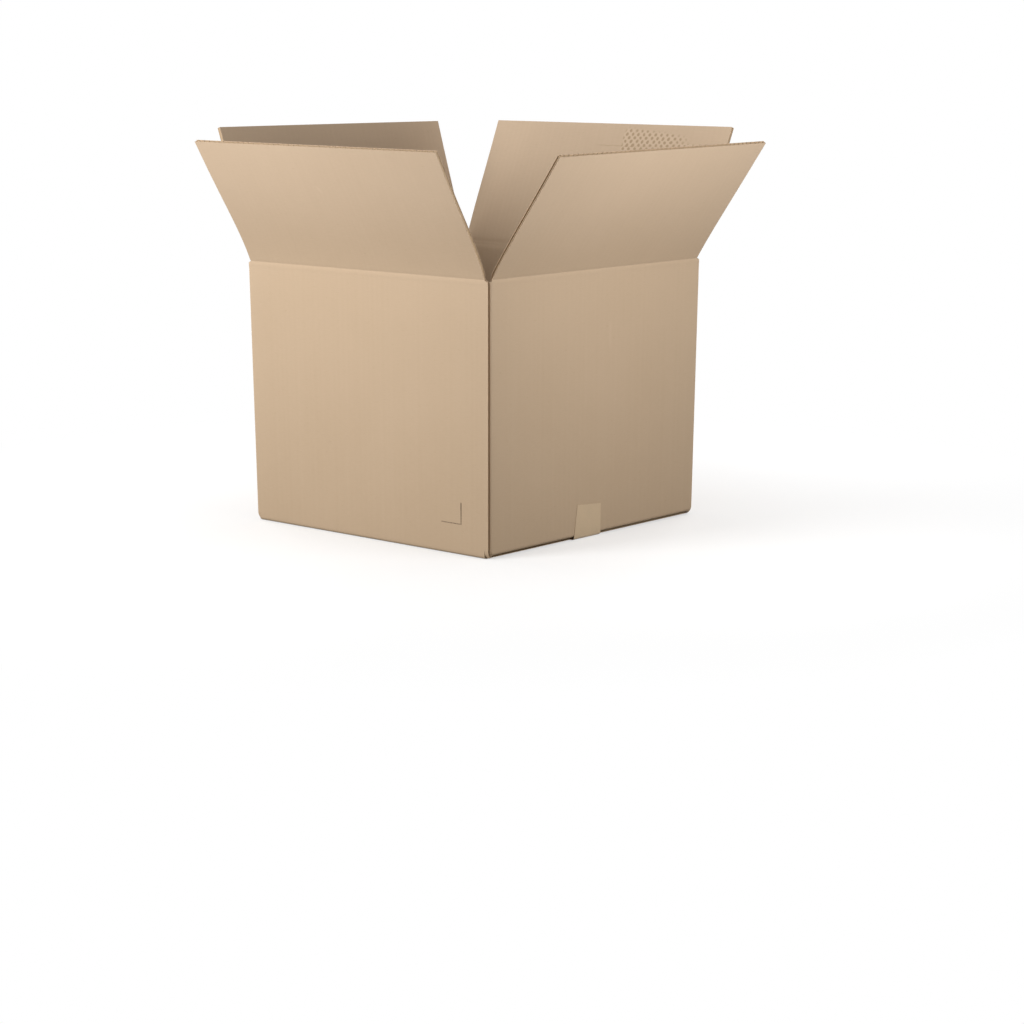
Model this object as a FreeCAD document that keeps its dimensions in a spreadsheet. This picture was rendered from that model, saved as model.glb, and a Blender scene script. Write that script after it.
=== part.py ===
import FreeCAD, Part

import math
import os

import Sketcher

# Open shipping carton, folded from one sheet of corrugated board.
# The four walls, the glue tab and the four bottom flaps are one folded sheet. The four top
# flaps hang on its rim and stand open. A strip of tape closes the bottom seam.
# Lengths are in millimetres and angles in degrees. +Z is up, and the origin lies on the face
# that the carton rests on, under the middle of its floor. The front wall faces -Y and the
# right wall faces +X, so the glued corner stands at +X, -Y. The front and back walls carry
# the outer flaps, and the left and right walls carry the inner flaps.

DRIVING_SIZES = [
    # Outside of the walls, along X and along Y
    ("box_length", 372.0),
    ("box_width", 376.0),
    # The board, the rounding outside a fold and the one inside it
    ("board", 4.0),
    ("fold_radius", 3.5),
    ("bead_radius", 0.8),
    # Height of the rim's inner creases above the rest face
    ("inner_crease", 303.0),
    # Free play between layers that fold over each other
    ("layer_gap", 0.3),
    # Depth of the flaps, from the outside of the wall that carries them
    ("top_flap", 162.0),
    ("bottom_flap", 185.0),
    # Slots between the flaps: their free play beside a wall, and their depth past the crease
    ("outer_play", 1.0),
    ("inner_play", 2.5),
    ("joint_play", 1.0),
    ("slot_depth", 1.0),
    # Glued corner: the tab behind the front wall, and the groove beside its raw edge
    ("tab_width", 35.0),
    ("tab_taper_angle", 15.0),
    ("tab_drop", 6.0),
    ("joint_groove", 2.6),
    # Height of the corners' feet, which the bottom slots leave free
    ("foot_rise", 2.1),
    # Tape along the bottom seam
    ("tape_width", 48.0),
    ("tape_thick", 0.2),
    ("tape_lap", 34.0),
    ("tape_offset", 16.0),
    ("tape_bend", 3.0),
    ("tape_slant", 5.0),
    # How far each top flap leans outwards from upright, in degrees
    ("front_lean_angle", 30.5),
    ("right_lean_angle", 35.5),
    ("back_lean_angle", 23.0),
    ("left_lean_angle", 18.5),
]

# How far a cut runs out past the board, so that it leaves no skin
OVERCUT = 2.0


class Size:
    """A size as its number, and as the formula that ties it to the sheet."""

    def __init__(self, value, formula):
        self.value = value
        self.formula = formula

    def __add__(self, other):
        other = as_size(other)
        return Size(self.value + other.value, f"({self.formula} + {other.formula})")

    def __sub__(self, other):
        other = as_size(other)
        return Size(self.value - other.value, f"({self.formula} - {other.formula})")

    def __mul__(self, other):
        other = as_size(other)
        return Size(self.value * other.value, f"({self.formula} * {other.formula})")

    def __truediv__(self, other):
        other = as_size(other)
        return Size(self.value / other.value, f"({self.formula} / {other.formula})")

    def __neg__(self):
        return Size(-self.value, f"(0 - {self.formula})")


def as_size(number):
    return number if isinstance(number, Size) else Size(float(number), repr(float(number)))


def root(size):
    return Size(math.sqrt(size.value), f"sqrt({size.formula})")


def tangent(angle):
    return Size(math.tan(math.radians(angle.value)), f"tan({angle.formula})")


doc = FreeCAD.newDocument("carton")
sheet = doc.addObject("Spreadsheet::Sheet", "sizes")
given = {}
for row, (alias, number) in enumerate(DRIVING_SIZES, start=1):
    sheet.set(f"A{row}", alias)
    sheet.set(f"B{row}", str(number))
    sheet.setAlias(f"B{row}", alias)
    given[alias] = Size(number, f"sizes.{alias}")
doc.recompute()

# The walls, outside and inside
board = given["board"]
fold = given["fold_radius"]
bead = given["bead_radius"]
half_x = given["box_length"] / 2
half_y = given["box_width"] / 2
room_x = half_x - board
room_y = half_y - board

# The rim: the outer flaps turn one layer above the inner ones, and so close on top of them
inner_crease = given["inner_crease"]
outer_crease = inner_crease + board + given["layer_gap"]
slot_floor = inner_crease - given["slot_depth"]

# The bottom, from below: the tape, the outer pair of flaps, the inner pair on top of them
outer_level = given["tape_thick"]
inner_level = outer_level + board + given["layer_gap"]
foot_level = outer_level + given["foot_rise"]

# Ends of the flaps along their creases. An inner flap closes between the front and the back
# wall, and at the glued corner it also clears the tab.
outer_end = room_x - given["outer_play"]
inner_end = room_y - given["inner_play"]
joint_end = room_y - board - given["joint_play"]
nothing = as_size(0)


def attach(body, sketch, plane, offset):
    """Lay a sketch on one of the body's own planes, moved along that plane's normal."""
    face = next(f for f in body.Origin.OriginFeatures if f.Role == plane)
    sketch.AttachmentSupport = [(face, "")]
    sketch.MapMode = "FlatFace"
    sketch.AttachmentOffset = FreeCAD.Placement(
        FreeCAD.Vector(0, 0, offset.value), FreeCAD.Rotation())
    sketch.setExpression("AttachmentOffset.Base.z", offset.formula)


def bend_between(start, end, radius, turn):
    """The short arc that leads from start to end and turns left or right."""
    along = end - start
    rise = math.sqrt(max(radius ** 2 - (along.Length / 2) ** 2, 0.0))
    left = FreeCAD.Vector(-along.y, along.x, 0).normalize()
    centre = (start + end) / 2 + left * (rise if turn == "left" else -rise)
    first, last = (start, end) if turn == "left" else (end, start)
    first_angle, last_angle = (math.atan2(p.y - centre.y, p.x - centre.x) for p in (first, last))
    if last_angle < first_angle:
        last_angle += 2 * math.pi
    circle = Part.Circle(centre, FreeCAD.Vector(0, 0, 1), radius)
    return Part.ArcOfCircle(circle, first_angle, last_angle)


def tie(sketch, kind, where, size):
    """Add a dimension whose number comes from the sheet."""
    index = sketch.addConstraint(Sketcher.Constraint(kind, *where, size.value))
    sketch.setExpression(f"Constraints[{index}]", size.formula)


def draw(sketch, corners):
    """Draw a closed outline and tie each corner and each radius to the sheet.

    A corner is (x, y), or (x, y, radius, turn) where an arc leads on to the next corner.
    """
    points = [FreeCAD.Vector(corner[0].value, corner[1].value, 0) for corner in corners]
    edges = []
    for number, corner in enumerate(corners):
        start, end = points[number], points[(number + 1) % len(points)]
        if len(corner) == 2:
            edges.append((sketch.addGeometry(Part.LineSegment(start, end), False), 1, 2))
            continue
        bend = sketch.addGeometry(bend_between(start, end, corner[2].value, corner[3]), False)
        edges.append((bend, 1, 2) if corner[3] == "left" else (bend, 2, 1))
    for number, corner in enumerate(corners):
        edge, start, end = edges[number]
        after, after_start, _ = edges[(number + 1) % len(edges)]
        sketch.addConstraint(Sketcher.Constraint("Coincident", edge, end, after, after_start))
        tie(sketch, "DistanceX", (edge, start), corner[0])
        tie(sketch, "DistanceY", (edge, start), corner[1])
        if len(corner) > 2:
            tie(sketch, "Radius", (edge,), corner[2])


def shape_from(body, kind, name, plane, offset, outlines, length, symmetric=False, turned=False):
    """Sketch the outlines on a plane and make a Pad or a Pocket of them."""
    sketch = body.newObject("Sketcher::SketchObject", f"{name}_outline")
    attach(body, sketch, plane, offset)
    for corners in outlines:
        draw(sketch, corners)
    feature = body.newObject(f"PartDesign::{kind}", name)
    feature.Profile = sketch
    feature.SideType = "Symmetric" if symmetric else "One side"
    feature.Reversed = turned
    feature.setExpression("Length", length.formula)
    doc.recompute()
    return feature


def mirrored(corners):
    """The same outline on the other side of the centre line."""
    other_way = {"left": "right", "right": "left"}
    return [
        (-corner[0], corner[1]) if len(corner) == 2
        else (-corner[0], corner[1], corner[2], other_way[corner[3]])
        for corner in corners
    ]


def rectangle(left, right, low, high):
    return [(left, low), (right, low), (right, high), (left, high)]


def wall_plan():
    """Outer and inner line of the walls: three folded corners and the glued one.

    At the glued corner the front wall ends in a raw edge, and the right wall turns in behind
    it to become the tab. A narrow groove stays open between the two.
    """
    seam = -room_y
    groove = half_x - given["joint_groove"]
    groove_side = fold - given["joint_groove"]
    groove_foot = seam + fold - root(fold * fold - groove_side * groove_side)
    outside = [
        (half_x, -half_y),
        (half_x, seam),
        (groove, seam),
        (groove, groove_foot, fold, "left"),
        (half_x, seam + fold),
        (half_x, half_y - fold, fold, "left"),
        (half_x - fold, half_y),
        (fold - half_x, half_y, fold, "left"),
        (-half_x, half_y - fold),
        (-half_x, fold - half_y, fold, "left"),
        (fold - half_x, -half_y),
    ]
    inside = [
        (room_x - bead, -room_y, bead, "left"),
        (room_x, bead - room_y),
        (room_x, room_y - bead, bead, "left"),
        (room_x - bead, room_y),
        (bead - room_x, room_y, bead, "left"),
        (-room_x, room_y - bead),
        (-room_x, bead - room_y, bead, "left"),
        (bead - room_x, -room_y),
    ]
    return [outside, inside]


def tab_plan():
    """The glue tab seen from the front: its ends slope in, so that it clears the flaps."""
    hinge = half_x - given["joint_groove"]
    edge = room_x - given["tab_width"]
    low = inner_level + board + given["tab_drop"]
    high = inner_crease - board - given["tab_drop"]
    slope = given["tab_width"] * tangent(given["tab_taper_angle"])
    return [
        (hinge, low),
        (hinge, high),
        (room_x, high),
        (edge, high - slope),
        (edge, low + slope),
        (room_x, low),
    ]


def bent_foot(half, level):
    """Section of a wall's foot and its bottom flap, as one board bent round the fold."""
    top = level + board + fold
    end = half - given["bottom_flap"]
    return [
        (half, top),
        (half, level + fold, fold, "right"),
        (half - fold, level),
        (end, level),
        (end, level + board),
        (half - board - bead, level + board, bead, "left"),
        (half - board, level + board + bead),
        (half - board, top),
    ]


def foot_cut(half, level):
    """Section of the straight wall that the bent foot takes the place of."""
    return rectangle(half - board - OVERCUT, half + OVERCUT, foot_level - OVERCUT, level + fold)


def rim_cut(half, crease):
    """Section above a wall's mitred rim, which leaves the flap room to fold inwards."""
    low = crease - board - OVERCUT
    return [
        (half - board - OVERCUT, low),
        (half + OVERCUT, crease + OVERCUT),
        (half + OVERCUT, outer_crease + OVERCUT * 2),
        (half - board - OVERCUT, outer_crease + OVERCUT * 2),
    ]


def as_drawn(corners):
    return corners


def both(corners):
    return [corners, mirrored(corners)]


def carton_sheet():
    """Walls, glue tab and crossed bottom flaps, folded from one sheet."""
    body = doc.addObject("PartDesign::Body", "carton_sheet")
    body.Label = "carton_sheet"
    shape_from(body, "Pad", "walls", "XY_Plane", foot_level, wall_plan(),
               outer_crease - foot_level)
    shape_from(body, "Pad", "glue_tab", "XZ_Plane", room_y, [tab_plan()], board, turned=True)

    # Slots at the four corners of the rim
    left_slots = [
        rectangle(-half_x - OVERCUT, -outer_end, inner_end, half_y + OVERCUT),
        rectangle(-half_x - OVERCUT, -outer_end, -half_y - OVERCUT, -inner_end),
    ]
    right_slots = [
        rectangle(outer_end, half_x + OVERCUT, inner_end, half_y + OVERCUT),
        rectangle(outer_end, half_x + OVERCUT, -half_y - OVERCUT, -joint_end),
    ]
    shape_from(body, "Pocket", "rim_slots", "XY_Plane", outer_crease + OVERCUT,
               left_slots + right_slots, outer_crease + OVERCUT - slot_floor)

    # Mitred rims, and bottom flaps: the straight foot of each wall gives way to a bent one
    outer_span = outer_end * 2
    shape_from(body, "Pocket", "outer_rim", "YZ_Plane", nothing,
               both(rim_cut(half_y, outer_crease)), outer_span, symmetric=True)
    shape_from(body, "Pocket", "outer_feet", "YZ_Plane", nothing,
               both(foot_cut(half_y, outer_level)), outer_span, symmetric=True)
    for side, facing, front_end in (("right", as_drawn, joint_end), ("left", mirrored, inner_end)):
        middle = (inner_end - front_end) / 2
        span = inner_end + front_end
        shape_from(body, "Pocket", f"{side}_rim", "XZ_Plane", -middle,
                   [facing(rim_cut(half_x, inner_crease))], span, symmetric=True)
        shape_from(body, "Pocket", f"{side}_foot", "XZ_Plane", -middle,
                   [facing(foot_cut(half_x, inner_level))], span, symmetric=True)
        shape_from(body, "Pad", f"{side}_bottom_flap", "XZ_Plane", -middle,
                   [facing(bent_foot(half_x, inner_level))], span, symmetric=True)
    shape_from(body, "Pad", "outer_bottom_flaps", "YZ_Plane", nothing,
               both(bent_foot(half_y, outer_level)), outer_span, symmetric=True)
    return body


def top_flap(name, hinge, facing, lean, start, end):
    """A top flap on its crease: the outer liner carries it, and its foot is mitred.

    It is drawn upright, outside face at y = 0 and crease along X, then turned to its wall.
    """
    body = doc.addObject("PartDesign::Body", name)
    body.Label = name
    foot = given["layer_gap"]
    section = [
        (nothing, foot),
        (nothing, given["top_flap"]),
        (board, given["top_flap"]),
        (board, foot + board),
    ]
    shape_from(body, "Pad", f"{name}_panel", "YZ_Plane", start, [section], end - start)
    body.Placement = FreeCAD.Placement(
        FreeCAD.Vector(*(size.value for size in hinge)), FreeCAD.Rotation(facing, 0, lean.value))
    for axis, size in zip("xyz", hinge):
        body.setExpression(f"Placement.Base.{axis}", size.formula)
    body.setExpression("Placement.Rotation.Roll", lean.formula)
    return body


def bottom_tape():
    """Tape along the bottom seam, up onto the left and the right wall."""
    body = doc.addObject("PartDesign::Body", "bottom_tape")
    body.Label = "bottom_tape"
    thick = given["tape_thick"]
    bend = given["tape_bend"]
    lap = given["tape_lap"]
    outside = half_x + thick
    inner_bend = bend - thick
    strip = [
        (outside, lap),
        (outside, bend, bend, "right"),
        (outside - bend, nothing),
        (bend - outside, nothing, bend, "right"),
        (-outside, bend),
        (-outside, lap),
        (-half_x, lap),
        (-half_x, bend, inner_bend, "left"),
        (bend - outside, thick),
        (outside - bend, thick, inner_bend, "left"),
        (half_x, bend),
        (half_x, lap),
    ]
    shape_from(body, "Pad", "tape_strip", "XZ_Plane", given["tape_offset"], [strip],
               given["tape_width"], symmetric=True)

    # The right lap was torn off aslant, so its front edge leans in towards the top
    front_edge = -given["tape_offset"] - given["tape_width"] / 2
    torn_off = [
        (front_edge - OVERCUT, bend),
        (front_edge, bend),
        (front_edge + given["tape_slant"], lap),
        (front_edge + given["tape_slant"], lap + OVERCUT),
        (front_edge - OVERCUT, lap + OVERCUT),
    ]
    shape_from(body, "Pocket", "torn_edge", "YZ_Plane", half_x, [torn_off],
               thick * 2 + OVERCUT, symmetric=True)
    return body


sub_parts = [
    carton_sheet(),
    top_flap("front_flap", (nothing, -half_y, outer_crease), 0, given["front_lean_angle"],
             -outer_end, outer_end),
    top_flap("right_flap", (half_x, nothing, inner_crease), 90, given["right_lean_angle"],
             -joint_end, inner_end),
    top_flap("back_flap", (nothing, half_y, outer_crease), 180, given["back_lean_angle"],
             -outer_end, outer_end),
    top_flap("left_flap", (-half_x, nothing, inner_crease), -90, given["left_lean_angle"],
             -inner_end, inner_end),
    bottom_tape(),
]
doc.recompute()

for thing in doc.Objects:
    if "Invalid" in thing.State or "Error" in thing.State:
        raise RuntimeError(f"{thing.Name} could not be built")
for body in sub_parts:
    if body.Shape.isNull() or not body.Shape.isValid() or len(body.Shape.Solids) != 1:
        raise RuntimeError(f"{body.Label} is not one sound solid")

os.makedirs("parts", exist_ok=True)
for body in sub_parts:
    body.Shape.exportStep(f"parts/{body.Label}.step")
    box = body.Shape.BoundBox
    print(f"{body.Label}: {body.Shape.Volume / 1000:.1f} cm3, "
          f"x {box.XMin:.1f} to {box.XMax:.1f}, y {box.YMin:.1f} to {box.YMax:.1f}, "
          f"z {box.ZMin:.1f} to {box.ZMax:.1f}")
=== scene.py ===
# %% [markdown]
# This lesson dresses an open cardboard box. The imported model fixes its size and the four
# hinge lines of the top flaps, and it is loaded first as a frame. Every piece is made in
# metres in that same frame, from sizes that repeat the model's, so nothing has to be
# fitted afterwards.

# %% The frame
from math import atan2, cos, exp, pi, radians, sin, tan

import bmesh
import bpy
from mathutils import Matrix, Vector


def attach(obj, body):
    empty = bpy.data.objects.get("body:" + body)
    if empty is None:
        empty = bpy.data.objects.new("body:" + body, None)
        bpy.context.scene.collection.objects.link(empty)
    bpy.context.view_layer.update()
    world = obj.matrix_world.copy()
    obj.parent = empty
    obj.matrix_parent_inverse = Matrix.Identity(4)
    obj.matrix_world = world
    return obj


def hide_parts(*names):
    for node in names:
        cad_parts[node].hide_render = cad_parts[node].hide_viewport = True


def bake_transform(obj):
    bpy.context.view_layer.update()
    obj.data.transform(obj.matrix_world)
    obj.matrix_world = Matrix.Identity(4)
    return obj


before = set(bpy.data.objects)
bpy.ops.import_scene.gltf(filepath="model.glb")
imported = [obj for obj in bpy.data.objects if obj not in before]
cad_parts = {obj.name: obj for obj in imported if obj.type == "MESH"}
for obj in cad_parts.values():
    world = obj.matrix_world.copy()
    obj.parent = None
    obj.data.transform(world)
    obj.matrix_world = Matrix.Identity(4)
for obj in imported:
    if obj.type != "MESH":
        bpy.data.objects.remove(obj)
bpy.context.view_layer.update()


# %% [markdown]
# A render is judged beside a photograph, so the camera comes before the pieces. Its place
# was worked out from the corners of the box in the picture, and it puts those of the rim
# and the foot within three pixels. A long lens keeps the walls nearly parallel. The
# picture is taken as not cropped, so the lens has no shift.

# %% Camera
camera_data = bpy.data.cameras.new("camera")
camera_data.sensor_width = 36.0
camera_data.lens = 88.9
camera = bpy.data.objects.new("camera", camera_data)
camera.location = (1.9715, -2.1996, 0.5582)
looks_down, turned = 10.61, 41.043
camera.rotation_euler = (radians(90 - looks_down), 0, radians(turned))
bpy.context.scene.collection.objects.link(camera)
bpy.context.scene.camera = camera
bpy.context.scene.view_settings.view_transform = "Standard"
print("camera at", tuple(camera.location))

# %% [markdown]
# The box is folded from one sheet of board. These are the sizes that every piece shares.
# The board has two flat papers, the liners, glued to a wavy paper between them, the
# medium. A common board for such boxes is 4 mm thick with a wave every 7.8 mm. Before it
# is folded the sheet is flat: first the glue tab, then the right, back, left and front
# walls. Marks on the paper are placed from the middles of the walls on that flat sheet.

# %% Sizes of the board and of the box
board, liner, medium = 0.004, 0.0004, 0.00028
wave_pitch = 0.0078
half_length, half_width = 0.186, 0.188
fold_radius, bead_radius = 0.0035, 0.0006
wall_foot, wall_head = 0.0095, 0.3025
crease_level = 0.305
tab_reach = 0.035
wall_middles = {"right": tab_reach - board + half_width}
wall_middles["back"] = wall_middles["right"] + half_width + half_length
wall_middles["left"] = wall_middles["back"] + half_length + half_width
wall_middles["front"] = wall_middles["left"] + half_width + half_length
print("board", board * 1000, "mm, a wave every", wave_pitch * 1000, "mm")
print("middles of the walls on the flat sheet:", wall_middles)

# %% [markdown]
# Shader maths reads best as ordinary sums. The class below wraps a node's output, so
# that 1 - mask or 0.3 * grain adds the Math nodes by itself. Its masks all come from one
# soft step.

# %% A small class for shader sums


class Signal:
    """An output of a shader node that can be used in sums."""

    def __init__(self, tree, socket):
        self.tree, self.socket = tree, socket

    def math(self, operation, *values):
        return add(self.tree, "ShaderNodeMath", {"operation": operation}, dict(enumerate(values)))

    def __add__(self, other):
        return self.math("ADD", self, other)

    def __sub__(self, other):
        return self.math("SUBTRACT", self, other)

    def __rsub__(self, other):
        return self.math("SUBTRACT", other, self)

    def __mul__(self, other):
        return self.math("MULTIPLY", self, other)

    __radd__, __rmul__ = __add__, __mul__

    def size(self):
        return self.math("ABSOLUTE", self)

    def wave(self):
        return self.math("SINE", self)

    def root(self):
        return self.math("SQRT", self)

    def fraction(self):
        return self.math("FRACT", self)

    def smaller(self, other):
        return self.math("MINIMUM", self, other)

    def larger(self, other):
        return self.math("MAXIMUM", self, other)

    def between(self, low, high):
        """0 below low, 1 above high, with a soft step from one to the other."""
        settings = {"interpolation_type": "SMOOTHSTEP"}
        return add(self.tree, "ShaderNodeMapRange", settings, {0: self, 1: low, 2: high, 3: 0.0, 4: 1.0})

    def band(self, low, full, fading, high):
        """1 from full to fading, 0 below low and above high."""
        return self.between(low, full) * (1 - self.between(fading, high))

    def near(self, middle, full, gone):
        """1 up to a distance of full from the middle, 0 beyond a distance of gone."""
        return 1 - (self - middle).size().between(full, gone)

    def other(self, name):
        """Another output of the same node."""
        return Signal(self.tree, self.socket.node.outputs[name])


print("shader sums ready")

# %% [markdown]
# Any other node comes from `add`, which sets the node's settings first, because they can
# change its sockets, and then fills or links the sockets. Colours are blended by a Mix node,
# since a Math node would turn them grey.

# %% Adding nodes


def add(tree, kind, settings=None, sockets=None, output=0):
    """Adds one node and gives back one of its outputs."""
    node = tree.nodes.new(kind)
    for name, value in (settings or {}).items():
        setattr(node, name, value)
    for name, value in (sockets or {}).items():
        if isinstance(value, Signal):
            tree.links.new(value.socket, node.inputs[name])
        else:
            node.inputs[name].default_value = value
    return Signal(tree, node.outputs[output])


def mix(tree, share, first, second):
    """A colour between two colours."""
    settings = {"data_type": "RGBA", "blend_type": "MIX"}
    return add(tree, "ShaderNodeMix", settings, {0: share, 6: first, 7: second}, output=2)


def finish(name):
    """A new material with only its shader and output, and the shader node itself."""
    material = bpy.data.materials.new(name)
    material.use_nodes = True
    tree = material.node_tree
    shader = tree.nodes["Principled BSDF"]
    return material, tree, shader


print("shader helpers ready")

# %% [markdown]
# Kraft paper is brown all through, but it is never one brown. Long fibres lie across the
# flutes, the pulp is cloudy and dark flecks are mixed in. Over the glued wave the liner dips a
# little between the flutes; these faint upright stripes are a bump and also painted shade.
# Every piece of board carries an attribute called sheet, with the place of each point on the
# flat, unfolded sheet in metres. Patterns that read it run on over the folds and stay with a
# flap when it turns.
#
# The paper is also painted paler with height, with a soft step above the creases, so it is
# darker at the foot and paler on the flaps. This is painted light and shade, not a colour that
# real kraft paper has. It was set, together with the lamps at the end, until the render's
# tones came near those of the photograph.

# %% Kraft paper
darkest, palest = (0.80, 0.765, 0.70), (1.16, 1.18, 1.22)


def painted_light_by_height(along):
    """Painted light and shade: the paper paler with height and above the creases, darker at the foot."""
    each_metre, step, at_foot = 0.62, 0.22, 0.20
    return along * each_metre + along.between(0.30, 0.42) * step - at_foot


def kraft(name, colour, stripes=0.5, wear_and_painted_shade=None):
    """Brown paper: fibres, clouds, flecks, the wave as bump and painted shade, painted light by height, and
    added marks.
    """
    material, tree, shader = finish(name)
    sheet = add(tree, "ShaderNodeAttribute", {"attribute_name": "sheet"}, output=1)
    across = add(tree, "ShaderNodeSeparateXYZ", sockets={0: sheet}, output=0)
    along = across.other(1)

    def grain(scale, size, detail=3.0):
        stretched = add(tree, "ShaderNodeMapping", sockets={"Vector": sheet, "Scale": scale})
        return add(tree, "ShaderNodeTexNoise", {"noise_dimensions": "3D"},
                   {"Vector": stretched, "Scale": size, "Detail": detail, "Roughness": 0.55}) - 0.5

    clouds = grain((1, 1, 0.2), 9.0, 2.0)
    mottle = grain((0.6, 1, 0.2), 70.0)
    fibres = grain((0.12, 1, 0.2), 900.0, 4.0)
    streaks = grain((1, 0.02, 0.2), 160.0)
    ripple = (across * (2 * pi / wave_pitch)).wave()
    flecks = grain((0.4, 1, 0.2), 420.0, 1.0).between(0.19, 0.25)
    fold = along.near(crease_level, 0.0004, 0.0022)

    # The ripple's share of the colour is painted shade of the liner's dips between the flutes, and the last
    # term is painted light and shade by height.
    shade = (clouds * 0.16 + mottle * 0.10 + fibres * 0.22 + streaks * 0.10
             + ripple * (0.014 * stripes) - flecks * 0.10 + fold * 0.03 + painted_light_by_height(along))
    relief = 0.0
    if wear_and_painted_shade:
        marks, relief = wear_and_painted_shade(across, along, mottle)
        shade = shade + marks
    low = tuple(part * share for part, share in zip(colour, darkest)) + (1,)
    high = tuple(min(1, part * share) for part, share in zip(colour, palest)) + (1,)
    tree.links.new(mix(tree, shade + 0.5, low, high).socket, shader.inputs["Base Color"])
    tree.links.new((0.80 + mottle * 0.25 + fibres * 0.2).socket, shader.inputs["Roughness"])
    shader.inputs["Specular IOR Level"].default_value = 0.35
    height = ripple * (0.5 * stripes) + fibres * 0.5 + mottle * 0.6 + relief
    bump = add(tree, "ShaderNodeBump", sockets={"Strength": 0.35, "Distance": 0.00012, "Height": height})
    tree.links.new(bump.socket, shader.inputs["Normal"])
    return material


print("kraft paper goes from", darkest, "to", palest, "of its own colour")

# %% [markdown]
# A few marks make it this one box: a pale upright rub on the right wall, a small one on the
# front flap, and a patch of dimples inside the back flap. Each mark is a mask on the flat
# sheet. The dimples are two grids of dots, one set in the gaps of the other, which makes
# staggered rows.
# The dimples are drawn darker and the ridges between them paler, which is painted shade in the hollows and
# painted highlight on the ridges, over the same shapes in the bump.

# %% Marks on the paper
kraft_colour, fluting_colour = (0.540, 0.405, 0.278), (0.44, 0.315, 0.195)
dimple_columns, dimple_rows = 0.0086, 0.0094


def rubbed(across, along, mottle):
    """The pale rubs; they have no relief, and mottle isn't needed for them."""
    wall_rub = across.near(wall_middles["right"] + 0.0215, 0.0, 0.0045) * along.near(0.229, 0.006, 0.020)
    beside = across - (wall_middles["front"] - 0.0150)
    flap_rub = beside.near(0.0, 0.0, 0.005) * (along + beside * 0.7).near(0.412, 0.001, 0.005)
    return wall_rub * 0.10 + flap_rub * 0.14, 0.0


def dimpled(across, along, mottle):
    """The dimples with a thin trail of them and a faint line; right is from the flap's middle."""
    right = wall_middles["back"] - across + mottle * 0.007
    along = along + mottle * 0.005
    patch = (right.band(0.024, 0.030, 0.092, 0.132)
             * along.between(0.426, 0.432) * (1 - (along + right * 0.10).between(0.462, 0.470)))
    trail = right.band(0.10, 0.11, 0.160, 0.172) * along.band(0.435, 0.437, 0.444, 0.446)
    faint_line = right.band(-0.02, 0.0, 0.17, 0.20) * along.near(0.4405, 0.0002, 0.0011)
    grids = []
    for offset in (0.0, 0.5):
        column = (right * (1 / dimple_columns) + offset).fraction() - 0.5
        row = (along * (1 / dimple_rows) + offset).fraction() - 0.5
        grids.append((column * column + row * row).root())
    away = grids[0].smaller(grids[1])
    dimple = 1 - away.between(0.12, 0.25)
    ridge = away.between(0.27, 0.40)
    strength = (1.0 + mottle * 4.0) * (patch + trail)
    # Painted shade: darker dimples; painted highlight: paler ridges, over their bump relief.
    shade = strength * (ridge * 0.34 - dimple * 1.6) - faint_line * (0.25 + mottle * 1.5)
    return shade, strength * (ridge * 1.2 - dimple * 4.0)


outer_kraft = kraft("outer_liner_kraft", kraft_colour, wear_and_painted_shade=rubbed)
inner_kraft = kraft("inner_liner_kraft", kraft_colour, stripes=1.0)
dimpled_kraft = kraft("dimpled_inner_kraft", kraft_colour, stripes=1.0, wear_and_painted_shade=dimpled)
fluting = kraft("fluting_paper", fluting_colour, stripes=0.0)
print("paper finishes:", outer_kraft.name, inner_kraft.name, fluting.name)

# %% [markdown]
# Folding is easier to get right on paper than in space. A fold line is a path of straight
# runs and rounded bends, seen from its edge, and it can tell where a point lies at any
# depth in the board. A whole number and its fraction name a place on it: 0 to 1 is the
# first run, 1 to 2 the first bend, 2 to 3 the next run, and so on.

# %% Fold lines


class FoldLine:
    """The outer face of folded board seen from its edge; depth is to the left of the way it runs."""

    def __init__(self, corners, radius=fold_radius):
        self.corners = [Vector(corner) for corner in corners]
        self.radius = radius

    def side(self, run):
        """The direction of a run, and its inward normal."""
        way = (self.corners[run + 1] - self.corners[run]).normalized()
        return way, Vector((-way.y, way.x))

    def bend(self, corner, depth):
        """Start, centre, turn and end of the bend at a corner, for one depth in the board."""
        (before, left_before), (after, left_after) = self.side(corner - 1), self.side(corner)
        turn = atan2(before.x * after.y - before.y * after.x, before.dot(after))
        inward = left_before + left_after
        tip = self.corners[corner] + inward * (depth / (1 + left_before.dot(left_after)))
        hand = 1 if turn > 0 else -1
        radius = max(self.radius - hand * depth, bead_radius)
        reach = radius * tan(abs(turn) / 2)
        start = tip - before * reach
        return start, start + left_before * (hand * radius), turn, tip + after * reach

    def spot(self, place, depth):
        """The point at a place on the path and a depth in the board."""
        part = min(int(place), 2 * len(self.corners) - 4)
        share, run = place - part, part // 2
        if part % 2:
            start, centre, turn, _ = self.bend(run + 1, depth)
            arm, angle = start - centre, turn * share
            return centre + Vector((arm.x * cos(angle) - arm.y * sin(angle),
                                    arm.x * sin(angle) + arm.y * cos(angle)))
        start = self.bend(run, depth)[3] if run else self.corners[0] + self.side(0)[1] * depth
        last = run + 2 == len(self.corners)
        end = self.corners[-1] + self.side(run)[1] * depth if last else self.bend(run + 1, depth)[0]
        return start.lerp(end, share)


print("fold lines ready")

# %% [markdown]
# Each paper of the board starts as a flat grid. Its points are laid along the fold lines,
# and solidify then gives the paper its thickness. The wavy medium is the same grid with
# many columns, pushed in and out by a sine. A modelled wave costs more faces than a
# picture of one, but it is what the cut edges of the box really show.

# %% Laying one paper


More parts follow.
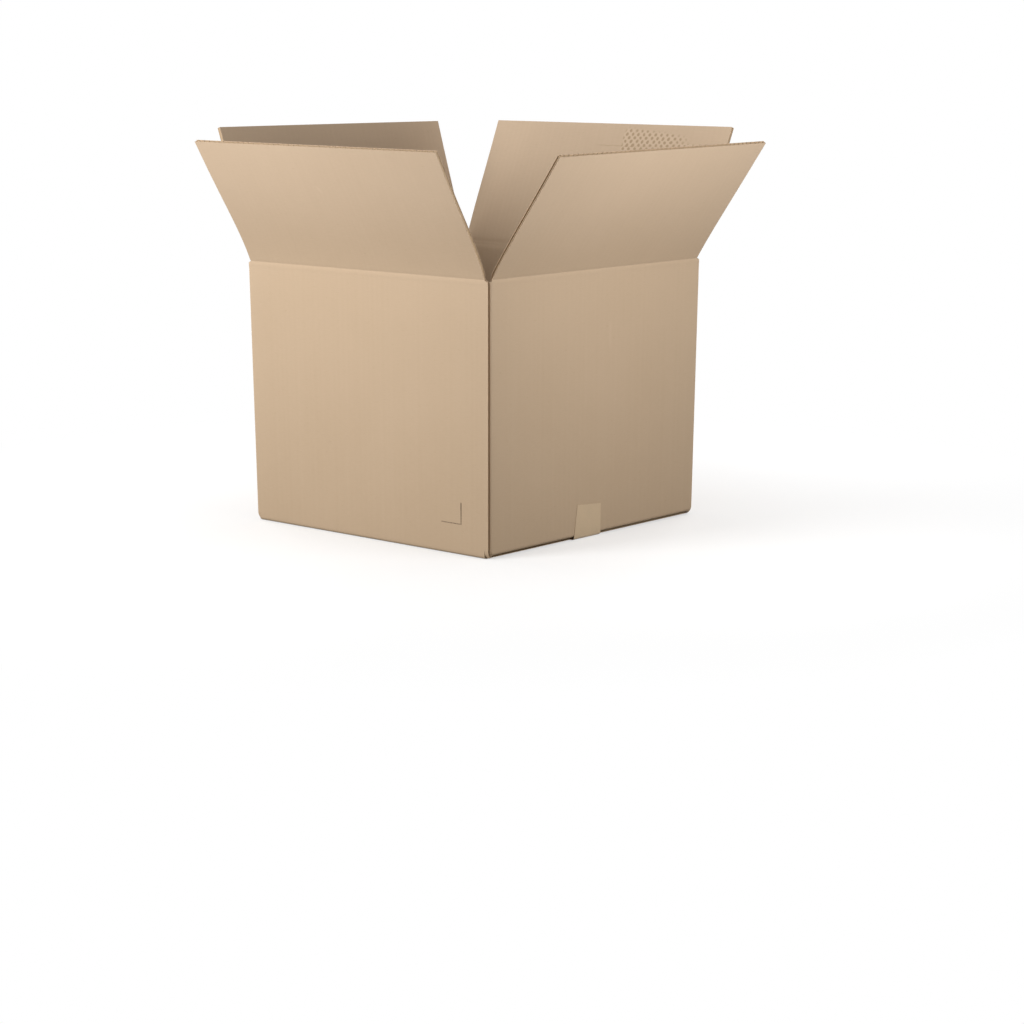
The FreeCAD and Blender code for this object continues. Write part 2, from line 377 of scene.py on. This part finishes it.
def lay_paper(bm, columns, rows, place, thickness, finish_index=0):
    """A grid, laid and thickened; place(column, row) gives a point and its place on the flat sheet."""
    piece = bmesh.new()
    bmesh.ops.create_grid(piece, x_segments=len(columns) - 1, y_segments=len(rows) - 1, size=0.5)
    sheet = piece.verts.layers.float_vector.new("sheet")
    for vert in piece.verts:
        column = round((vert.co.x + 0.5) * (len(columns) - 1))
        row = round((vert.co.y + 0.5) * (len(rows) - 1))
        vert.co, vert[sheet] = place(columns[column], rows[row])
    piece.normal_update()
    bmesh.ops.solidify(piece, geom=piece.faces[:], thickness=thickness)
    for face in piece.faces:
        face.material_index = finish_index
        face.smooth = True
    carrier = bpy.data.meshes.new("carrier")
    piece.to_mesh(carrier)
    piece.free()
    bm.from_mesh(carrier)
    bpy.data.meshes.remove(carrier)


taper = 0.021


def splay(bm):
    """Draws the foot narrower than the rim, as the photograph shows of the two near walls.

    The share was fitted to the photograph, and is taken for all four sides.
    """
    for vert in bm.verts:
        share = max(0.0, 1 - vert.co.z / wall_head)
        vert.co.x *= 1 - taper * share
        vert.co.y *= 1 - taper * share


def new_board(name, body, nodes, bm, finishes):
    """Makes the finished piece and gives it its papers.

    A piece with a body is splayed and rides on it. A top flap has none here.
    """
    mesh = bpy.data.meshes.new(name)
    if body:
        splay(bm)
    bm.to_mesh(mesh)
    bm.free()
    mesh.set_sharp_from_angle(angle=radians(35))
    for material in finishes:
        mesh.materials.append(material)
    piece = bpy.data.objects.new(name, mesh)
    bpy.context.scene.collection.objects.link(piece)
    if body:
        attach(piece, body)
    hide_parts(*nodes)
    print(name, "has", len(mesh.polygons), "faces")
    return piece


def spread(low, high, count):
    """Evenly spaced numbers from low to high."""
    return [low + (high - low) * step / count for step in range(count + 1)]


# %% [markdown]
# The crease between a wall and its flap is a score: a wheel has pressed the board flat
# along a line before it was folded. From outside it shows as a soft swelling of the
# liner with a fine valley above it. From inside it is a wide groove, and that groove also
# gives the flap room to fold shut.

# %% Crease and wave


def hump(rise, middle, width):
    """A smooth hump: 1 at its middle, and almost 0 at two widths from it."""
    return exp(-((rise - middle) / width) ** 2)


def swelling(rise):
    """How far the outer liner stands out near the crease; rise is measured from the crease."""
    below, valley, above = 0.00020, 0.00014, 0.00006
    return (below * hump(rise, -0.0040, 0.0024) - valley * hump(rise, 0, 0.0009)
            + above * hump(rise, 0.0030, 0.0018))


def pressed(rise):
    """The thickness that is left of the board near the crease."""
    crushed_by = 0.0015
    return board - crushed_by * hump(rise, 0, 0.0040)


def medium_depth(across, thickness):
    """Depth of the wavy paper at a place across the sheet, inside board of a given thickness."""
    room = max(0.0, thickness - 2 * liner - medium) / 2
    return liner + room + room * sin(2 * pi * across / wave_pitch)


def three_papers(bm, columns, wave_columns, rows, wave_rows, place):
    """Outer liner, inner liner and wave; place(column, row, layer) gives what lay_paper asks for."""
    lay_paper(bm, columns, rows, lambda c, r: place(c, r, "outer"), liner, 0)
    lay_paper(bm, columns, rows, lambda c, r: place(c, r, "inner"), liner, 1)
    lay_paper(bm, wave_columns, wave_rows, lambda c, r: place(c, r, "wave"), medium, 2)


def depth_of(layer, across, thickness):
    """Depth of the outer side of one paper."""
    if layer == "outer":
        return 0.0
    return thickness - liner if layer == "inner" else medium_depth(across, thickness)


def wave_steps(low, high):
    """Columns that follow the wave from low to high, eight to each wave."""
    return spread(low, high, max(2, round((high - low) / wave_pitch * 8)))


print("board at the crease is", round(pressed(0.0) * 1000, 2), "mm thick")

# %% [markdown]
# The walls are one strip that goes round the box. It starts at the glue tab, turns the
# corner into the right wall, and goes round the back and the left wall to the front wall,
# whose cut edge ends beside the first fold. That edge and the fold leave the small groove
# that every box of this kind has at its glued corner.

# %% Walls
last_run, last_corner = 4, 5
tab_slant = radians(15)
ring_corners = [(half_length - tab_reach, -half_width + board), (half_length, -half_width + board),
                (half_length, half_width), (-half_length, half_width), (-half_length, -half_width),
                (half_length, -half_width)]
ring = FoldLine(ring_corners)
ring_starts = [0.0]
for corner, following in zip(ring.corners, ring.corners[1:]):
    ring_starts.append(ring_starts[-1] + (following - corner).length)


def ring_across(place):
    """Place across the flat sheet, in metres, of a place on the ring."""
    part = min(int(place), 2 * last_run)
    share, run = place - part, part // 2
    if part % 2:
        return ring_starts[run + 1] + fold_radius * (2 * share - 1)
    low = ring_starts[run] + (fold_radius if run else 0)
    high = ring_starts[run + 1] - (fold_radius if run < last_run else 0)
    return low + (high - low) * share


def wall_point(place, level, layer):
    """A point of the walls, at a place on the ring and a height above the floor."""
    across = ring_across(place)
    depth = depth_of(layer, across, pressed(level - crease_level))
    if layer == "outer":
        depth -= swelling(level - crease_level)
    spot = ring.spot(place, depth)
    return Vector((spot.x, spot.y, level)), Vector((across, level, depth))


def tab_point(place, share, layer):
    """A point of the glue tab, which is lower than the walls and has slanted ends."""
    slant = (half_length - ring.spot(place, 0).x) * tan(tab_slant)
    tab_foot, tab_head = 0.0145 + slant, 0.2970 - slant
    level = tab_foot + (tab_head - tab_foot) * share
    across = ring_across(place)
    depth = depth_of(layer, across, board)
    spot = ring.spot(place, depth)
    return Vector((spot.x, spot.y, level)), Vector((across, level, depth))


bend_steps = 5
wall_places = [1 + step / bend_steps for step in range(bend_steps)]
for run in range(1, last_run + 1):
    wall_places += [2 * run + share for share in spread(0, 1, 14)]
    if run < last_run:
        wall_places += [2 * run + 1 + step / bend_steps for step in range(1, bend_steps)]
# The rows lie close together near the crease, where the liner swells.
wall_levels = ([wall_foot, 0.02, 0.05, 0.1, 0.15, 0.2, 0.25, 0.28, 0.29, 0.2945]
               + spread(0.2965, wall_head, 8))
wave_levels, wall_wave_steps = [wall_foot, 0.28, 0.298, wall_head], 376
sheet_board = bmesh.new()
lay_paper(sheet_board, wall_places, wall_levels, lambda c, r: wall_point(c, r, "outer"), liner, 0)
lay_paper(sheet_board, wall_places, wall_levels, lambda c, r: wall_point(c, r, "inner"), liner, 1)
for run in range(1, last_run + 1):
    wave_end = 0.996 if run < last_run else 1
    waves = [2 * run + share for share in spread(0.004, wave_end, wall_wave_steps)]
    lay_paper(sheet_board, waves, wave_levels, lambda c, r: wall_point(c, r, "wave"), medium, 2)
three_papers(sheet_board, spread(0, 1, 6), spread(0, 1, 40), spread(0, 1, 4), [0, 1], tab_point)
print("walls and tab laid, strip", round(ring_starts[-1] * 1000), "mm long")

# %% [markdown]
# The slots between the flaps are cut only a little deeper than the creases, so at each
# corner the wall goes on for a few millimetres beyond its straight part. At the top it ends
# in a small V, where a slot meets the corner fold. At the bottom, which can't be seen, it is
# taken as crushed round under the box. Both are laid along the fold line of the walls.

# %% Corners between the slots
notch_gap, notch_depth = 0.0002, 0.0022
shoe_low, shoe_inset = 0.0014, 0.0070
narrow, wide = 0.0050, 0.0065


def run_length(run):
    """Length of the straight part of a run, without the bends at its ends."""
    ends = 2 if 0 < run < last_run else 1
    return ring_starts[run + 1] - ring_starts[run] - fold_radius * ends


def near_corner(corner, before, after):
    """Places on the ring from a little before a corner to a little after it."""
    bend = 2 * corner - 1
    places = []
    if before:
        straight = before - (0 if corner == last_corner else fold_radius)
        places += [bend - share * straight / run_length(corner - 1) for share in (1, 0.75, 0.5, 0.25)]
    if corner == last_corner:
        return places + [bend]
    places += [bend + step / bend_steps for step in range(bend_steps)]
    straight = after - fold_radius
    return places + [bend + 1 + share * straight / run_length(corner) for share in (0, 0.33, 0.66, 1)]


def corner_pieces(corner, before, after):
    """What is left of the wall at one corner, for a width before it and a width after it."""
    middle = ring_starts[corner]

    def post(place, share, layer):
        """The top, up to the edge of the notch."""
        across = ring_across(place)
        reach = (before if across < middle else after) or fold_radius
        near = 1.0 if corner == 1 and across < middle else max(0.0, 1 - abs(across - middle) / reach)
        top = crease_level - notch_gap - notch_depth * near
        return wall_point(place, wall_head + (top - wall_head) * share, layer)

    def shoe(place, share):
        """The foot, crushed round under the box along a quarter of an ellipse."""
        level = shoe_low + (wall_foot - shoe_low) * share
        down = (wall_foot - level) / wall_foot
        inset = shoe_inset * (1 - (1 - down * down) ** 0.5)
        spot = ring.spot(place, inset)
        return Vector((spot.x, spot.y, level)), Vector((ring_across(place), level, inset))

    places = near_corner(corner, before, after)
    three_papers(sheet_board, places, places, [0, 1], [0, 1], post)
    lay_paper(sheet_board, places, spread(0, 1, 6), shoe, liner, 0)


for corner, before, after in ((1, 0, narrow), (2, wide, narrow), (3, narrow, wide),
                              (4, wide, narrow), (last_corner, narrow, 0)):
    corner_pieces(corner, before, after)
print("corners laid")

# %% [markdown]
# Four flaps close the bottom. The right and left ones fold first and lie inside, and the
# front and back ones fold over them, one board lower. They are laid with a fold line that
# is seen from the end of the box, with the floor as its first run and the wall as its last.

# %% Bottom flaps


class Side:
    """One side of the box: the middle of its wall, the way across it, and the way out of it.

    Its flaps run from low to high, measured across from the middle.
    """

    def __init__(self, name, middle, way, low, high):
        self.name, self.middle, self.way = name, Vector(middle), Vector(way)
        self.out = Vector((way[1], -way[0], 0))
        self.low, self.high = low, high

    def point(self, across, spot):
        return self.middle + self.way * across + self.out * spot.x + Vector((0, 0, spot.y))

    def on_sheet(self, across):
        return wall_middles[self.name] + across


sides = {
    "front": Side("front", (0, -half_width, 0), (1, 0, 0), -0.181, 0.181),
    "right": Side("right", (half_length, 0, 0), (0, 1, 0), -0.181, 0.1815),
    "back": Side("back", (0, half_width, 0), (-1, 0, 0), -0.181, 0.181),
    "left": Side("left", (-half_length, 0, 0), (0, -1, 0), -0.1815, 0.1815),
}
floor_reach, outer_margin = 0.185, 0.0003
outer_floor, inner_floor, inner_droop = 0.0002, 0.0045, 0.0014
crushed_bend, bend_on_sheet = 0.0012, 0.01


def bottom_flap(side, level, margin):
    """level is the underside of the flap, margin how much narrower it is than a top flap."""
    droop = inner_droop if level == inner_floor else 0.0
    path = FoldLine([(-floor_reach, level), (0, level - droop), (0, wall_foot)])

    def place(across, spot_place, layer):
        """spot_place is 0 at the free edge, 1 to 2 in the bend, and 3 at the foot of the wall."""
        on_sheet = side.on_sheet(across)
        in_bend = max(0.0, 1 - abs(spot_place - 1.5) / 0.8)
        depth = depth_of(layer, on_sheet, board - crushed_bend * in_bend)
        spot = path.spot(spot_place, depth)
        along = max(0, spot_place - 1) * bend_on_sheet - floor_reach * (1 - min(spot_place, 1))
        return side.point(across, spot), Vector((on_sheet, along, depth))

    rows = spread(0, 1, 8)[:-1] + spread(1, 2, 6) + [2.5, 3]
    low, high = side.low + margin, side.high - margin
    three_papers(sheet_board, spread(low, high, 14), wave_steps(low, high),
                 rows, [0, 0.5, 0.97, 1.5, 2, 3], place)


for name in ("front", "back"):
    bottom_flap(sides[name], outer_floor, outer_margin)
for name in ("right", "left"):
    bottom_flap(sides[name], inner_floor, 0)
new_board("carton_board", "carton", ["carton_sheet"], sheet_board,
          [outer_kraft, inner_kraft, fluting])

# %% [markdown]
# A top flap leans out at its own angle, and it isn't quite flat: near the crease it stands
# more upright, and further up it leans out more. The leans are the model's. The bulges and
# the places of the free corners were set until the outline of the render lay near that of
# the photograph. So they hold the real bends of the board and the error of the camera's
# place together.

# %% How the top flaps stand
flap_reach = 0.162
leans = {"front": 30.5, "right": 35.5, "back": 23.0, "left": 18.5}
hinge_levels = {"front": 0.3073, "right": 0.3030, "back": 0.3073, "left": 0.3030}
bulges = {"front": 0.0023, "right": 0.0009, "back": 0.0012, "left": 0.0012}
# How far each free corner is up, out along the free edge, and curled inwards, in
# millimetres: first for the end where the side's way begins, then for the other end.
lifts = {"front": (-2.8, -4.6), "right": (2.4, 6.0), "back": (-2.6, -2.3), "left": (-2.6, -1.0)}
flares = {"front": (0.0, 6.0), "right": (0.0, 2.0), "back": (4.5, 1.0), "left": (2.0, 2.0)}
curls = {"front": (0.0, 0.0), "right": (0.0, 0.0), "back": (0.0, 0.0), "left": (6.0, 0.0)}


def bulge(share):
    """A bulge that is 1 at a quarter of the flap's height and 0 at both ends."""
    return 9.48 * share * (1 - share) ** 3


def corner_shift(side, end, share):
    """How far a point moves up, along the edge and inwards, in metres, with its free corners."""
    millimetre = 0.001 * share
    low, high = lifts[side.name]
    lift = millimetre * (low + (high - low) * end)
    low, high = flares[side.name]
    flare = millimetre * (high * end - low * (1 - end))
    low, high = curls[side.name]
    curl = millimetre * (low * (1 - end) ** 2 + high * end ** 2)
    return lift, flare, curl


print("leans of the top flaps in degrees:", leans)

# %% [markdown]
# The lowest few millimetres of each piece belong to the wall, and the paper bends from them
# over the crease into the flap, so it stays in one piece from wall to flap. The rows of the
# grid lie close where it bends, and further apart up the flap.

# %% Top flaps
below_crease = wall_head - crease_level
near_crease = spread(below_crease, 0, 5) + [0.0004, 0.0009, 0.0015, 0.0022, 0.003, 0.004, 0.005, 0.0065]
up_the_flap = [0.009, 0.013, 0.019, 0.027, 0.037, 0.05, 0.07, 0.095, 0.125]
wave_rises = [below_crease, 0, 0.002, 0.005, 0.013, 0.027, 0.045, 0.07, 0.11]
crease_radius, side_cut, top_cut = 0.0008, 0.0003, 0.0005
cut_from, cut_to = 0.12, 0.96
stays_on_wall, turned_above = 0.0001, 0.0030


def top_flap(side):
    """Makes one top flap with its strip of wall, bent over its crease."""
    lean = radians(leans[side.name])
    hinge = hinge_levels[side.name]
    tip = (flap_reach * sin(lean), hinge + flap_reach * cos(lean))
    path = FoldLine([(0, wall_head), (0, crease_level), tip], radius=crease_radius)
    reach = (path.corners[2] - path.corners[1]).length

    def place(across, rise, layer):
        """rise is measured along the outer face from the crease, below it negative."""
        on_sheet = side.on_sheet(across)
        depth = depth_of(layer, on_sheet, pressed(rise))
        end = (across - side.low) / (side.high - side.low)
        lift, flare, curl = corner_shift(side, end, max(0.0, rise / reach))
        if layer == "outer":
            depth -= swelling(rise)
        if rise > 0:
            depth += bulges[side.name] * bulge(rise / reach)
            spot = path.spot(2 + rise / reach, depth)
        else:
            spot = path.spot(1 - rise / below_crease, depth)
        spot.x -= curl
        point = side.point(across + flare, spot) + Vector((0, 0, lift))
        return point, Vector((on_sheet, crease_level + rise, depth))

    def cut_edge(across, rise, share):
        """A point of the cut edge, where the knife has pressed the wave against the liners."""
        outer, on_sheet = place(across, rise, "outer")
        inner, _ = place(across, rise, "inner")
        between = cut_from + (cut_to - cut_from) * share
        return outer.lerp(inner, between), on_sheet + Vector((0, 0, share * board))

    def cut_side(share, rise):
        return cut_edge(side.high - side_cut, rise, share)

    def cut_top(across, share):
        return cut_edge(across, reach - top_cut, share)

    bm = bmesh.new()
    rises = near_crease + up_the_flap + [reach]
    three_papers(bm, spread(side.low, side.high, 16), wave_steps(side.low, side.high),
                 rises, wave_rises + [reach], place)
    lay_paper(bm, [0, 0.3, 0.7, 1], rises, cut_side, medium, 2)
    lay_paper(bm, spread(side.low, side.high, 24), [0, 0.5, 1], cut_top, medium, 2)
    inside = dimpled_kraft if side.name == "back" else inner_kraft
    flap = new_board(side.name + "_flap_board", None, [side.name + "_flap"], bm,
                     [outer_kraft, inside, fluting])
    above = max(hinge, crease_level) - crease_level + turned_above
    start = side.point(0, Vector((0, wall_head + stays_on_wall)))
    end = side.point(0, Vector((above * sin(lean), crease_level + above * cos(lean))))
    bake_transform(flap)


for side in sides.values():
    top_flap(side)

# %% [markdown]
# One strip of tan packing tape holds the bottom shut and laps up the right and left walls.
# Its film is smoother than the paper, so it shines a little where a lamp grazes it. A noise
# in two sizes keeps its colour and its surface from being quite even.

# %% Finish of the tape


def tape_finish():
    """Satin tan film with a cloudy colour."""
    material, tree, shader = finish("tan_tape")
    where = add(tree, "ShaderNodeTexCoord", output=3)
    cloud = add(tree, "ShaderNodeTexNoise", sockets={"Vector": where, "Scale": 60.0, "Detail": 3.0}) - 0.5
    fine = add(tree, "ShaderNodeTexNoise", sockets={"Vector": where, "Scale": 700.0, "Detail": 2.0}) - 0.5
    low, high = (0.48, 0.355, 0.22, 1), (0.64, 0.48, 0.31, 1)
    tree.links.new(mix(tree, 0.5 + cloud * 0.5 + fine * 0.3, low, high).socket, shader.inputs["Base Color"])
    tree.links.new((0.46 + cloud * 0.3).socket, shader.inputs["Roughness"])
    height = cloud + fine * 0.3
    bump = add(tree, "ShaderNodeBump", sockets={"Strength": 0.4, "Distance": 0.0002, "Height": height})
    tree.links.new(bump.socket, shader.inputs["Normal"])
    return material


tan_tape = tape_finish()
print("tape finish:", tan_tape.name)

# %% [markdown]
# Tape is torn over a toothed blade, so its ends are a row of small points. It is one more
# sheet on a fold line: up the left wall, under the box and up the right wall.

# %% Tape
tape_thick, tape_middle, tape_half, tape_lap = 0.0002, -0.0145, 0.024, 0.0405
tape_low, tape_radius = 0.00018, 0.003
tooth_height, tooth_half = 0.0006, 0.0016
end_drop, end_slant, side_slant = 0.0018, tan(radians(4)), 0.0055
tape_side = half_length + tape_thick
tape_path = FoldLine([(-tape_side, tape_lap), (-tape_side, tape_low), (tape_side, tape_low),
                      (tape_side, tape_lap)], radius=tape_radius)


def tape_point(across, place):
    """across runs over the width of the tape; place runs from 0 at its left end to 5 at its right."""
    tooth = tooth_height * abs((across / tooth_half) % 2 - 1)
    spot = tape_path.spot(place, 0)
    if place in (0, 5):
        spot.y -= tooth + across * end_slant + end_drop
    lap = max(0.0, place - 4)
    pull = side_slant * lap * max(0.0, -across / tape_half)
    return Vector((spot.x, tape_middle + across + pull, spot.y)), Vector((across, place, 0))


tape_mesh = bmesh.new()
tape_rows = ([0, 0.35, 0.7, 1] + spread(1, 2, 5)[1:] + spread(2, 3, 12)[1:]
             + spread(3, 4, 5)[1:] + [4.3, 4.65, 5])
lay_paper(tape_mesh, spread(tape_half, -tape_half, 40), tape_rows, tape_point, tape_thick * 0.8)
new_board("bottom_tape_strip", "carton", ["bottom_tape"], tape_mesh, [tan_tape])

# %% [markdown]
# The front wall carries a small printed corner mark, two thin lines that meet. A printed
# line has no height to speak of, so it is a film of ink three hundredths of a millimetre
# thick, just above the paper.

# %% Printed corner mark


def ink_finish():
    """Brown ink that has faded in places."""
    material, tree, shader = finish("faded_brown_ink")
    where = add(tree, "ShaderNodeTexCoord", output=3)
    patchy = add(tree, "ShaderNodeTexNoise", sockets={"Vector": where, "Scale": 500.0, "Detail": 3.0})
    low, high = (0.20, 0.14, 0.085, 1), (0.33, 0.24, 0.155, 1)
    tree.links.new(mix(tree, patchy.between(0.35, 0.7), low, high).socket, shader.inputs["Base Color"])
    shader.inputs["Roughness"].default_value = 0.8
    return material


ink_thick, line_width = 0.00003, 0.0012
mark_left, mark_right, mark_foot, mark_head = 0.1160, 0.1465, 0.0342, 0.0590
lying = (mark_left, mark_right, mark_foot, mark_foot + line_width)
standing = (mark_right - line_width, mark_right, mark_foot + line_width, mark_head)
ink = bmesh.new()
for left, right, foot, head in (lying, standing):
    for vert in bmesh.ops.create_grid(ink, x_segments=1, y_segments=1, size=0.5)["verts"]:
        vert.co = (left if vert.co.x < 0 else right, -half_width - ink_thick,
                   foot if vert.co.y < 0 else head)
bmesh.ops.solidify(ink, geom=ink.faces[:], thickness=ink_thick)
splay(ink)
mark = bpy.data.objects.new("corner_mark", bpy.data.meshes.new("corner_mark"))
ink.to_mesh(mark.data)
ink.free()
mark.data.materials.append(ink_finish())
bpy.context.scene.collection.objects.link(mark)
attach(mark, "carton")
print("corner mark has", len(mark.data.polygons), "faces")

# %% [markdown]
# The floor is plain and pale. Close to the box it is ordinary matt paint that takes the
# shadow, and further off it fades to pure white for the camera, so no horizon shows. Rays
# that carry light see a darker floor, which keeps the underside of the flaps from being
# lit from below.

# %% Floor
white = (1, 1, 1, 1)
floor_seen, floor_for_light = (0.93, 0.93, 0.93, 1), (0.22, 0.21, 0.20, 1)


def floor_finish():
    """Matt paint near the box, fading to white further off for rays that look at it."""
    material, tree, shader = finish("pale_floor")
    where = add(tree, "ShaderNodeTexCoord", output=3)
    away = add(tree, "ShaderNodeVectorMath", {"operation": "LENGTH"}, {0: where}, output=1)
    camera_ray = add(tree, "ShaderNodeLightPath")
    mirrored, through = camera_ray.other("Is Glossy Ray"), camera_ray.other("Is Transmission Ray")
    looked_at = camera_ray.larger(mirrored.larger(through))
    colour = mix(tree, looked_at, floor_for_light, floor_seen)
    tree.links.new(colour.socket, shader.inputs["Base Color"])
    shader.inputs["Roughness"].default_value = 0.9
    shader.inputs["Specular IOR Level"].default_value = 0.1
    glow = add(tree, "ShaderNodeEmission", sockets={"Color": white, "Strength": 1.0})
    whitening = 0.45 + 0.55 * away.between(0.28, 0.85)
    painted = Signal(tree, shader.outputs[0])
    surface = add(tree, "ShaderNodeMixShader", sockets={0: looked_at * whitening, 1: painted, 2: glow})
    tree.links.new(surface.socket, tree.nodes["Material Output"].inputs["Surface"])
    return material


floor_radius = 30.0
ground = bmesh.new()
bmesh.ops.create_circle(ground, cap_ends=True, segments=64, radius=floor_radius)
floor = bpy.data.objects.new("floor", bpy.data.meshes.new("floor"))
ground.to_mesh(floor.data)
ground.free()
floor.data.materials.append(floor_finish())
bpy.context.scene.collection.objects.link(floor)
print("floor ready")

# %% [markdown]
# The background is white for the camera and in reflections. For all other rays it is a mid
# grey, which is the even light of the room.

# %% Background
room_light = (0.36, 0.36, 0.362, 1)
world = bpy.data.worlds.new("studio")
bpy.context.scene.world = world
world.use_nodes = True
air = world.node_tree
camera_ray = add(air, "ShaderNodeLightPath")
looked_at = camera_ray.larger(camera_ray.other("Is Glossy Ray"))
background = air.nodes["Background"]
air.links.new(mix(air, looked_at, room_light, white).socket, background.inputs["Color"])
background.inputs["Strength"].default_value = 1.0
print("background ready")

# %% [markdown]
# Soft studio light comes from five rectangles and from the even light of the room. The key
# lamp stands in front, a little to the left and above the rim. Of the other four, one faces
# each side of the box, so that no wall is left dark from any view. All are large for their
# distance, which makes the shadows soft, and close enough that the top of the box is a
# little brighter than its foot. Their powers were set beside the photograph.

# %% Lamps


def lamp(name, place, aim, width, height, power):
    """A rectangle of light, sizes in metres and power in watts, turned to face its aim."""
    data = bpy.data.lights.new(name, "AREA")
    data.shape, data.size, data.size_y, data.energy = "RECTANGLE", width, height, power
    piece = bpy.data.objects.new(name, data)
    piece.location = place
    piece.rotation_euler = (Vector(aim) - Vector(place)).to_track_quat("-Z", "Y").to_euler()
    piece.visible_camera = False
    bpy.context.scene.collection.objects.link(piece)


lamp("key_softbox", (-0.40, -1.45, 0.74), (0, 0.1, 0.36), 0.60, 0.48, 16.8)
lamp("front_softbox", (0, -0.86, 0.44), (0, 0, 0.40), 0.55, 0.44, 0.9)
lamp("right_softbox", (0.80, 0, 0.42), (0, 0, 0.38), 0.55, 0.20, 3.15)
lamp("back_softbox", (0, 1.00, 0.36), (0, 0, 0.34), 0.60, 0.40, 5.0)
lamp("left_softbox", (-1.00, 0, 0.36), (0, 0, 0.34), 0.60, 0.40, 4.5)
print("lamps ready")
